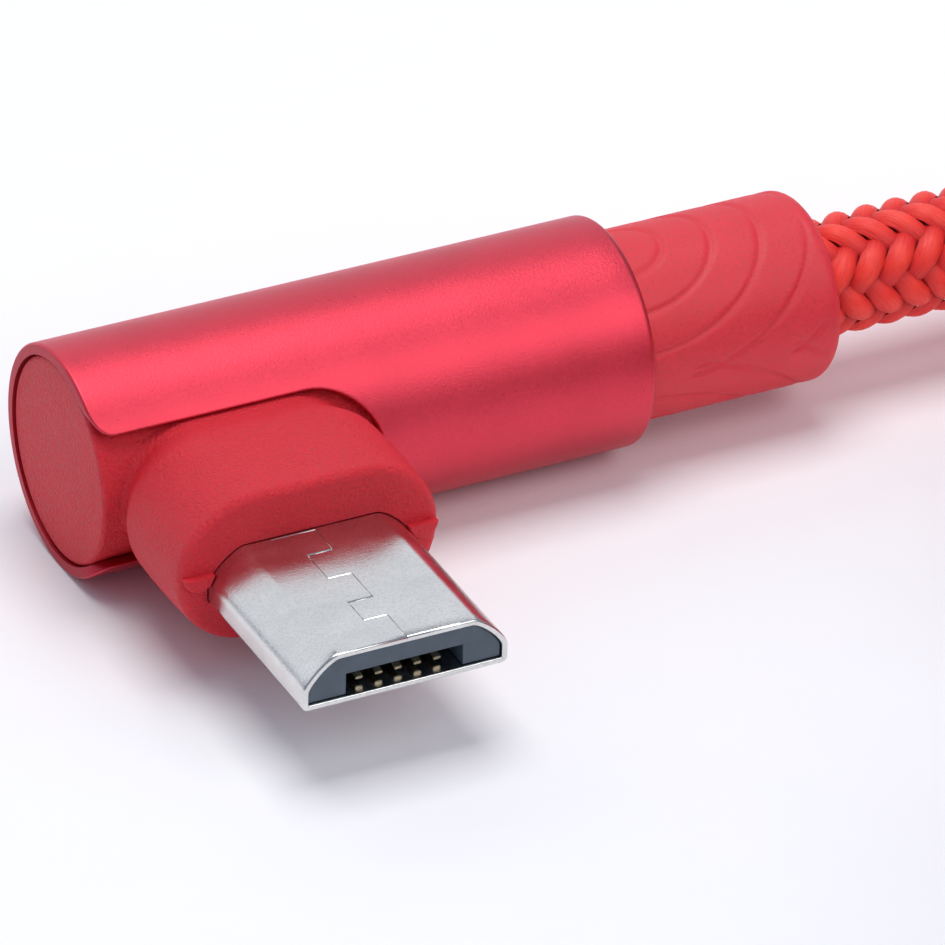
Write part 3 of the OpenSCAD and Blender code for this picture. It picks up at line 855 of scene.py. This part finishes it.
def half_disc(name, x):
    """A small moulded half disc on the neck's front face, flat side up."""
    r, top, proud = 0.5, 0.2, NUB_PROUD + 0.02
    outline = [(r * math.cos(-math.pi * k / 16), r * math.sin(-math.pi * k / 16)) for k in range(17)]
    rings = []
    for reach, shrink in ((NECK_REACH - 0.4, 1), (NECK_REACH + proud - 0.05, 1), (NECK_REACH + proud, 0.88)):
        z = top - 0.06 * (1 - shrink)
        rings.append(in_head([(x + shrink * a, -reach, z + shrink * b) for a, b in outline]))
    return loft(name, rings)


def build_plug_mould():
    """The round body with its end face, the neck and nubs on it, and the shell's hole."""
    left = [(FACE_X + back, MOULD_R - sunk) for back, sunk in edge_round(0.16, 5)][::-1]
    profile = [
        (FACE_X, 0), (FACE_X, 1.6), *left, (6, MOULD_R), (12, MOULD_R), (CORE_END - 0.1, MOULD_R),
        (CORE_END, MOULD_R - 0.1), (CORE_END, 3.2), (CORE_END - 0.7, 3.2), (CORE_END - 0.7, 0),
    ]
    made = lathe("head_mould", profile)
    combine(made, loft("neck", neck_rings()), "UNION")
    for side in (-1, 1):
        combine(made, half_disc("nub", PLUG_X + side * 3.78), "UNION")
    gap = [(PLUG_X + x, z) for x, z in d_outline(-0.03)]
    hole = loft("hole", [in_head(along_y(gap, y)) for y in (-NECK_REACH - 1, -NECK_REACH + 0.5)])
    combine(made, hole)
    shade(made.data, 38)
    return add_piece(made, "red_plastic", ["plug_mould"])


# --- the head: micro-B plug ---

SHELL_W = shell_high[0] - shell_low[0]
SHELL_H = shell_high[2] - shell_low[2]
PLUG_REACH = HEAD[1] - shell_low[1]
SHELL_BACK = HEAD[1] - shell_high[1]
SHELL_T = 0.2
GAP = 0.02  # between the shell and its insulator
TONGUE_W = 3.9  # the opening for the socket's tongue
TONGUE_TOP = 0.05
LATCH_ROOM = 0.29  # half the width of a latch's window and channel
latch_low, latch_high = mm_box("latch_right")
LATCH_X = (latch_low[0] + latch_high[0]) / 2 - HEAD[0] - PLUG_X
CONTACT_PITCH = 0.65


def d_outline(inset, low_r=0.2, per_curve=12):
    """The plug's section: a wide flat bottom, short upright sides and curved upper shoulders."""
    half, top = SHELL_W / 2, SHELL_H / 2
    side = []
    r = max(low_r - inset, 0.04)
    for a in np.linspace(-math.pi / 2, 0, 7):
        side.append((half - inset - r + r * math.cos(a), -top + inset + r + r * math.sin(a)))
    a, b, c, d = np.array([(half, -0.27), (half, 0.08), (2.6, top), (2.2, top)])
    for t in np.linspace(0, 1, per_curve + 1):
        here = (1 - t) ** 3 * a + 3 * t * (1 - t) ** 2 * b + 3 * t * t * (1 - t) * c + t ** 3 * d
        way = (1 - t) ** 2 * (b - a) + 2 * t * (1 - t) * (c - b) + t * t * (d - c)
        way /= np.linalg.norm(way)
        side.append((here[0] - inset * way[1], here[1] + inset * way[0]))
    return side + [(-x, z) for x, z in reversed(side)]


def plug_ring(inset, reach):
    """The plug's section at a reach, drawn in by inset."""
    return in_head([(PLUG_X + x, -reach, z) for x, z in d_outline(inset)])


# The interlocking seam on the shell's upper face: (x from the plug's middle, reach) corners
SEAM = [
    (-1.34, 8.2), (0.12, 8.2), (0.12, 9.45), (-0.73, 9.45), (-0.73, 10.9), (0.06, 10.9), (0.06, 12.35),
    (-0.76, 12.35), (-0.76, 13.45), (0.02, 13.45), (0.02, 15.2),
]


def seam_cut(start, end):
    """One straight run of the seam. The metal behind a crosswise run has a bevelled edge."""
    (x0, reach0), (x1, reach1) = start, end
    half, top = 0.015, SHELL_H / 2
    deep = top - SHELL_T / 2
    left, right = PLUG_X + min(x0, x1) - half, PLUG_X + max(x0, x1) + half
    front, back = -max(reach0, reach1) - half, -min(reach0, reach1) + half
    if x0 == x1:
        return block("seam", in_head([left, front, deep]), in_head([right, back, top + 0.1]))
    over = top + 0.004
    profile = [(front, deep), (back, deep), (back, top - 0.05), (back + 0.075, over), (front, over)]
    return loft("seam", [in_head(along_x(profile, x)) for x in (left, right)])


def cut_channel(made, x, half, near, far, top):
    """Cuts the plug from below up to top, half to each side of x, between two reaches."""
    low, high = [PLUG_X + x - half, -far, -SHELL_H], [PLUG_X + x + half, -near, top]
    combine(made, block("channel", in_head(low), in_head(high)))


def build_shell():
    """The bent steel shell, with its seam cut half through and a window for each latch."""
    mouth = [(sunk, PLUG_REACH - back) for back, sunk in edge_round(0.07, 3)]
    inner = [(SHELL_T - sunk, PLUG_REACH - back) for back, sunk in reversed(edge_round(0.05, 3))]
    bends = sorted({reach for _, reach in SEAM})
    between = [(0, (near + far) / 2) for near, far in zip([SHELL_BACK, *bends], bends)]
    stations = [(0, SHELL_BACK), *between, *mouth, *inner, (SHELL_T, SHELL_BACK)]
    made = loft("micro_plug_shell", [plug_ring(inset, reach) for inset, reach in stations], loop=True)
    for start, end in zip(SEAM, SEAM[1:]):
        combine(made, seam_cut(start, end))
    for side in (-1, 1):
        cut_channel(made, side * LATCH_X, LATCH_ROOM, 12.46, 14, 0)
    soften(made, 0.01, segments=1, angle=60)
    return add_piece(made, "plug_steel", ["micro_shell"])


def build_insulator():
    """The dark body, with the tongue's opening, five contact channels and the latches' room."""
    front = PLUG_REACH - 0.1
    rings = [plug_ring(SHELL_T + GAP, SHELL_BACK + 0.3)]
    rings += [plug_ring(SHELL_T + GAP + sunk, front - back) for back, sunk in edge_round(0.05, 3)]
    made = loft("tongue_body", rings)
    cut_channel(made, 0, TONGUE_W / 2, 9, 15, TONGUE_TOP)
    for i in range(-2, 3):
        cut_channel(made, CONTACT_PITCH * i, 0.18, 0, 9.5, -0.34)
    for side in (-1, 1):
        cut_channel(made, side * LATCH_X, LATCH_ROOM, 6.5, 14, 0.31)
    soften(made, 0.03)
    return add_piece(made, "dark_insulator", ["micro_insulator"])


def strip(name, x, line, widths, thick):
    """A sheet-metal strip at x; line is (reach, z) along its middle."""
    line = smooth_line(np.array([(reach, z, 0) for reach, z in line], float), 6)[:, :2]
    way = np.gradient(line, axis=0)
    way /= np.linalg.norm(way, axis=1)[:, None]
    share = np.linspace(0, 1, len(line))
    half = np.interp(share, np.linspace(0, 1, len(widths)), widths) / 2
    top = thick / 2
    edge = min(0.3 * thick, 0.04)
    rings = []
    for (reach, z), (a, b), w in zip(line, way, half):
        upper = [(w, top - edge), (w - edge, top), (-w + edge, top), (-w, top - edge)]
        section = upper + [(-u, -v) for u, v in upper]
        rings.append(in_head([(x + u, -(reach - v * b), z + v * a) for u, v in section]))
    return loft(name, rings)


def join(name, parts):
    """One object from several."""
    with bpy.context.temp_override(
        active_object=parts[0], selected_editable_objects=parts, object=parts[0], selected_objects=parts
    ):
        bpy.ops.object.join()
    parts[0].name = name
    return parts[0]


def build_contacts():
    """Five springs that rise to a crest and dip to a narrow tip."""
    line = [
        (9.22, -0.42), (10.8, -0.42), (12.2, -0.40), (12.9, -0.36), (13.6, -0.38), (14.0, -0.43),
        (14.25, -0.51),
    ]
    widths = (0.32, 0.32, 0.32, 0.3, 0.26, 0.24)
    springs = [
        strip(f"spring_{i}", PLUG_X + CONTACT_PITCH * i, line, widths, 0.12) for i in range(-2, 3)
    ]
    return add_piece(join("spring_strips", springs), "gold", ["micro_contacts"], "spring_contacts")


def refined(name, node, slot, width, body="root"):
    """A CAD node's own shape with its flat faces made whole and its edges rounded."""
    mesh = frame["nodes"][node].data.copy()
    made = new_object(name, mesh)
    work = bmesh.new()
    work.from_mesh(mesh)
    bmesh.ops.remove_doubles(work, verts=work.verts, dist=1e-4 * MM)
    bmesh.ops.dissolve_limit(work, angle_limit=math.radians(1), verts=work.verts, edges=work.edges)
    work.to_mesh(mesh)
    work.free()
    mesh.shade_smooth()
    soften(made, width)
    return add_piece(made, slot, [node], body)


# --- strain reliefs ---

relief_low, relief_high = mm_box("strain_relief")
RELIEF_R = (relief_high[2] - relief_low[2]) / 2
RELIEF_LEN = relief_high[0] - sleeve_high[0]
RELIEF_EDGE = 0.5
RELIEF_BORE = 1.98
GROOVE_ALONG = 1.65  # from one ripple to the next, along the relief
GROOVE_ROUND = 1.32  # and round it
GROOVE_DEPTH = 0.08
GROOVE_HALF = 0.10
PLAIN_AT = 0.82  # the ripples fade out here, as a share of the way from crown to keel
PLAIN_HALF = 0.09


def groove(x, angle):
    """Depth of the ripples: half ovals nested on the crown, at angle 0, and on the keel."""
    side = abs((angle + math.pi) % TURN - math.pi) * RELIEF_R
    keel = math.pi * RELIEF_R
    depth = 0
    for middle in (0, keel):
        ripple = math.hypot(x / GROOVE_ALONG, (side - middle) / GROOVE_ROUND)
        if 0.6 < ripple < 5.4 and abs(side - middle) < keel / 2 + 0.2:
            away = abs(ripple - round(ripple)) * (GROOVE_ALONG + GROOVE_ROUND) / 2
            depth = max(depth, math.exp(-((away / GROOVE_HALF) ** 2)))
    fade = min(1, abs(side / keel - PLAIN_AT) / PLAIN_HALF)
    return GROOVE_DEPTH * depth * fade


def relief_rings(crown):
    """A relief along +X from the housing's end at x = 0, over its rounded end and back down its bore."""
    turn = [TURN * k / 240 for k in range(240)]
    end = RELIEF_LEN - RELIEF_EDGE
    sections = []
    stations = [(x, RELIEF_R) for x in [-0.8, -0.4, *np.arange(0, end, 0.075), end]]
    stations += [(RELIEF_LEN - back, RELIEF_R - sunk) for back, sunk in edge_round(RELIEF_EDGE, 8)[1:]]
    for x, radius in stations:
        fade = min(1, max(0, (end - x) / 0.25)) if x > 0 else 0
        sections.append((x, [radius - fade * groove(x, a - crown) for a in turn]))
    bore = [(RELIEF_LEN, RELIEF_BORE + 0.14), (RELIEF_LEN - 0.12, RELIEF_BORE), (-0.8, RELIEF_BORE)]
    sections += [(x, [radius] * len(turn)) for x, radius in bore]
    return np.array([
        [(x, -r * math.cos(a), r * math.sin(a)) for a, r in zip(turn, radii)] for x, radii in sections
    ])


def build_relief(name, node, start, crown_degrees):
    """A relief that leaves its housing at start, with its ripples' crown at an angle from -Y."""
    rings = relief_rings(math.radians(crown_degrees)) + start
    return add_piece(loft(name, rings, loop=True, smooth_below=60), "red_relief", [node])


def build_reliefs():
    """Both strain reliefs; the USB-A plug's is given back."""
    build_relief("head_relief", "strain_relief", in_head([SLEEVE_LEN, 0, 0]), 86)
    low, high = mm_box("usb_a_relief")
    middle = (low + high) / 2
    return build_relief("usb_a_boot", "usb_a_relief", [high[0] - RELIEF_LEN, middle[1], middle[2]], 90)


# --- the USB-A plug ---

usb_low, usb_high = mm_box("usb_a_sleeve")
USB_MIDDLE = (usb_low + usb_high) / 2
tin_low, tin_high = mm_box("usb_a_shell")
USB_WALL = 0.5
TIN_T = 0.3


def usb_section(inset):
    """The housing's outline, drawn in by inset."""
    w, h = (usb_high - usb_low)[1:]
    return superrect(w - 2 * inset, h - 2 * inset, 3.1 - inset, 16)


def tin_section(inset):
    """The steel shell's outline, drawn in by inset."""
    w, h = (tin_high - tin_low)[1:]
    return superrect(w - 2 * inset, h - 2 * inset, 0.62 - inset, 8)


def rounded_ends(low_x, high_x, radius, inset=0):
    """(x, inset) stations round a body's left end and its right end."""
    edges = [(back, inset + sunk) for back, sunk in edge_round(radius)]
    left = [(low_x + back, sunk) for back, sunk in reversed(edges)]
    return left, [(high_x - back, sunk) for back, sunk in edges]


def shaped_along_x(name, section, stations, loop):
    """A skin whose section(inset) is drawn at each (x, inset) station, on the USB-A plug's axis."""
    rings = [np.array(along_x(section(inset), x)) + [0, *USB_MIDDLE[1:]] for x, inset in stations]
    return loft(name, rings, loop=loop)


def usb_case():
    """The open-ended anodised housing."""
    left, right = rounded_ends(usb_low[0], usb_high[0], 0.16)
    along = [(x, 0) for x in np.linspace(usb_low[0] + 1, usb_high[0] - 1, 9)]
    inside = [(x, USB_WALL) for x in (usb_high[0], USB_MIDDLE[0], usb_low[0])]
    made = shaped_along_x("usb_a_case", usb_section, [*left, *along, *right, *inside], True)
    return add_piece(made, "anodised_red", ["usb_a_sleeve"])


def usb_core():
    """The red moulding that fills the housing's ends, with the shell's hole in its front."""
    low, high = mm_box("usb_a_mould")
    gap = 0.03
    left, right = rounded_ends(low[0], high[0], 0.15, USB_WALL + gap)
    made = shaped_along_x("usb_a_core", usb_section, [*left, *right], False)
    hole_low = [tin_low[0] - 1, tin_low[1] - gap, tin_low[2] - gap]
    hole_high = [low[0] + 0.6, tin_high[1] + gap, tin_high[2] + gap]
    combine(made, block("hole", hole_low, hole_high))
    return add_piece(made, "red_plastic", ["usb_a_mould"])


def usb_tin():
    """The folded steel shell, with two latch windows above and below and its seam underneath."""
    mouth = [(tin_low[0] + back, sunk) for back, sunk in edge_round(0.1)]
    inner = [(tin_low[0] + back, TIN_T - sunk) for back, sunk in reversed(edge_round(0.08))]
    back, half_way = tin_high[0], (tin_low[0] + tin_high[0]) / 2
    stations = [(back, 0), (half_way, 0), *mouth, *inner, (half_way, TIN_T), (back, TIN_T)]
    made = shaped_along_x("usb_a_tin", tin_section, stations, True)
    window_x, under, above = tin_low[0] + 5.2, tin_low[2] - 1, tin_high[2] + 1
    for side in (-1, 1):
        y = USB_MIDDLE[1] + 2.85 * side
        combine(made, block("window", [window_x, y - 1.25, under], [window_x + 2.2, y + 1.25, above]))
    seam_low = [tin_low[0] - 1, USB_MIDDLE[1] - 0.02, under]
    seam_high = [usb_low[0] + 0.2, USB_MIDDLE[1] + 0.02, tin_low[2] + TIN_T / 2]
    combine(made, block("seam", seam_low, seam_high))
    soften(made, 0.02, segments=1, angle=50)
    return add_piece(made, "plug_steel", ["usb_a_shell"])


def build_usb_a():
    """The plug's five visible pieces."""
    return [
        usb_case(), usb_core(), usb_tin(),
        refined("usb_a_tongue", "usb_a_insulator", "white_insulator", 0.06),
        refined("usb_a_strips", "usb_a_contacts", "gold", 0.04),
    ]


# --- the coil's strap ---

TIE_ANGLE = math.radians(160)  # its direction from the coil's middle, from +X
TIE_W = 8.0
TIE_T = 0.7
TIE_SLACK = 0.05


def turns_under_strap():
    """(distance from the coil's middle, height) of each turn where the strap goes round them."""
    first = (math.pi / 2 - TIE_ANGLE) / TURN % 1
    turns = np.arange(first, COIL_TURNS[-1], 1)
    return [(np.interp(t, COIL_TURNS, COIL_RADII), np.interp(t, COIL_TURNS, COIL_HEIGHTS)) for t in turns]


def strap_line(clear, from_angle, to_angle, count):
    """A tight line round the turns, clear of their centres, between two directions in degrees."""
    turns = np.array(turns_under_strap())
    line = []
    for angle in np.radians(np.linspace(from_angle, to_angle, count)):
        way = np.array([math.cos(angle), math.sin(angle)])
        reach, height = turns[np.argmax(turns @ way)] + clear * way
        line.append((reach, max(height, TIE_T / 2)))
    return np.array(line)


def dense(line, closed, step=0.35):
    """The same line with points a step apart, its corners eased."""
    if closed:
        line = np.vstack([line, line[:1]])
    run = np.concatenate([[0], np.cumsum(np.linalg.norm(np.diff(line, axis=0), axis=1))])
    count = max(8, round(run[-1] / step))
    at = np.linspace(0, run[-1], count, endpoint=not closed)
    even = np.stack([np.interp(at, run, line[:, k]) for k in (0, 1)], axis=-1)
    for _ in range(3):
        eased = (np.roll(even, 1, axis=0) + 2 * even + np.roll(even, -1, axis=0)) / 4
        if not closed:
            eased[[0, -1]] = even[[0, -1]]
        even = eased
    return even


def ribbon(name, line, closed, end_scale=1.0):
    """A strap along a line of (distance from the coil's middle, height) points."""
    way = np.roll(line, -1, axis=0) - np.roll(line, 1, axis=0) if closed else np.gradient(line, axis=0)
    way /= np.linalg.norm(way, axis=1)[:, None]
    out = np.array([math.cos(TIE_ANGLE), math.sin(TIE_ANGLE), 0])
    side = np.array([-math.sin(TIE_ANGLE), math.cos(TIE_ANGLE), 0])
    rings = []
    for index, ((reach, height), (along, rise)) in enumerate(zip(line, way)):
        slim = end_scale if index == len(line) - 1 else 1
        section = superrect(TIE_W, TIE_T * slim, 0.3 * slim, 4)
        middle = np.array([*COIL_MIDDLE, height]) + out * reach
        up = out * rise + np.array([0, 0, -along])
        rings.append([middle + side * u - up * v for u, v in section])
    return loft(name, rings, loop=closed, smooth_below=50)


def build_tie():
    """A hook-and-loop strap once round the coil's turns, with its end laid over the top."""
    clear = CORD_D / 2 + TIE_SLACK + TIE_T / 2
    loop_line = dense(strap_line(clear, 0, 357, 120), True)
    flap_line = dense(strap_line(clear + TIE_T, 20, 118, 40), False)
    strap = join("coil_strap", [
        ribbon("strap", loop_line, True), ribbon("flap", flap_line, False, end_scale=0.5),
    ])
    return add_piece(strap, "strap", ["coil_tie"])


# --- the parts inside the mouldings keep their CAD shapes ---

WIRES = ("wire_power", "wire_ground", "wire_data_minus", "wire_data_plus")
HEAD_INSIDE = ("inner_mould", "contact_tails", "solder_joints", *WIRES)
USB_A_INSIDE = ("usb_a_inner_mould", "usb_a_solder", *[f"usb_a_{wire}" for wire in WIRES])


def finish_inner_parts():
    """Gives each hidden part the material that its record names."""
    slots = {sub["node"]: sub["material_slot"] for sub in frame["record"]["subparts"]}
    for node in HEAD_INSIDE + USB_A_INSIDE:
        for holder in frame["nodes"][node].material_slots:
            holder.material = FINISHES[slots[node]]


def add_floor():
    far = 900
    points = [(-far, -far, 0), (far, -far, 0), (far, far, 0), (-far, far, 0)]
    floor = new_object("floor", new_mesh("floor", points, [(0, 1, 2, 3)]))
    floor.data.materials.append(FINISHES["paper"])


add_camera()
add_studio()
add_floor()

strap = build_tie()
boot = build_reliefs()
end_stub = add_cord_ends()
usb_pieces = build_usb_a()
add_cord()

build_sleeve()
build_plug_mould()
build_shell()
build_insulator()
build_contacts()
for side in ("left", "right"):
    refined(f"{side}_latch_spring", f"latch_{side}", "latch_steel", 0.03, f"{side}_latch")
finish_inner_parts()
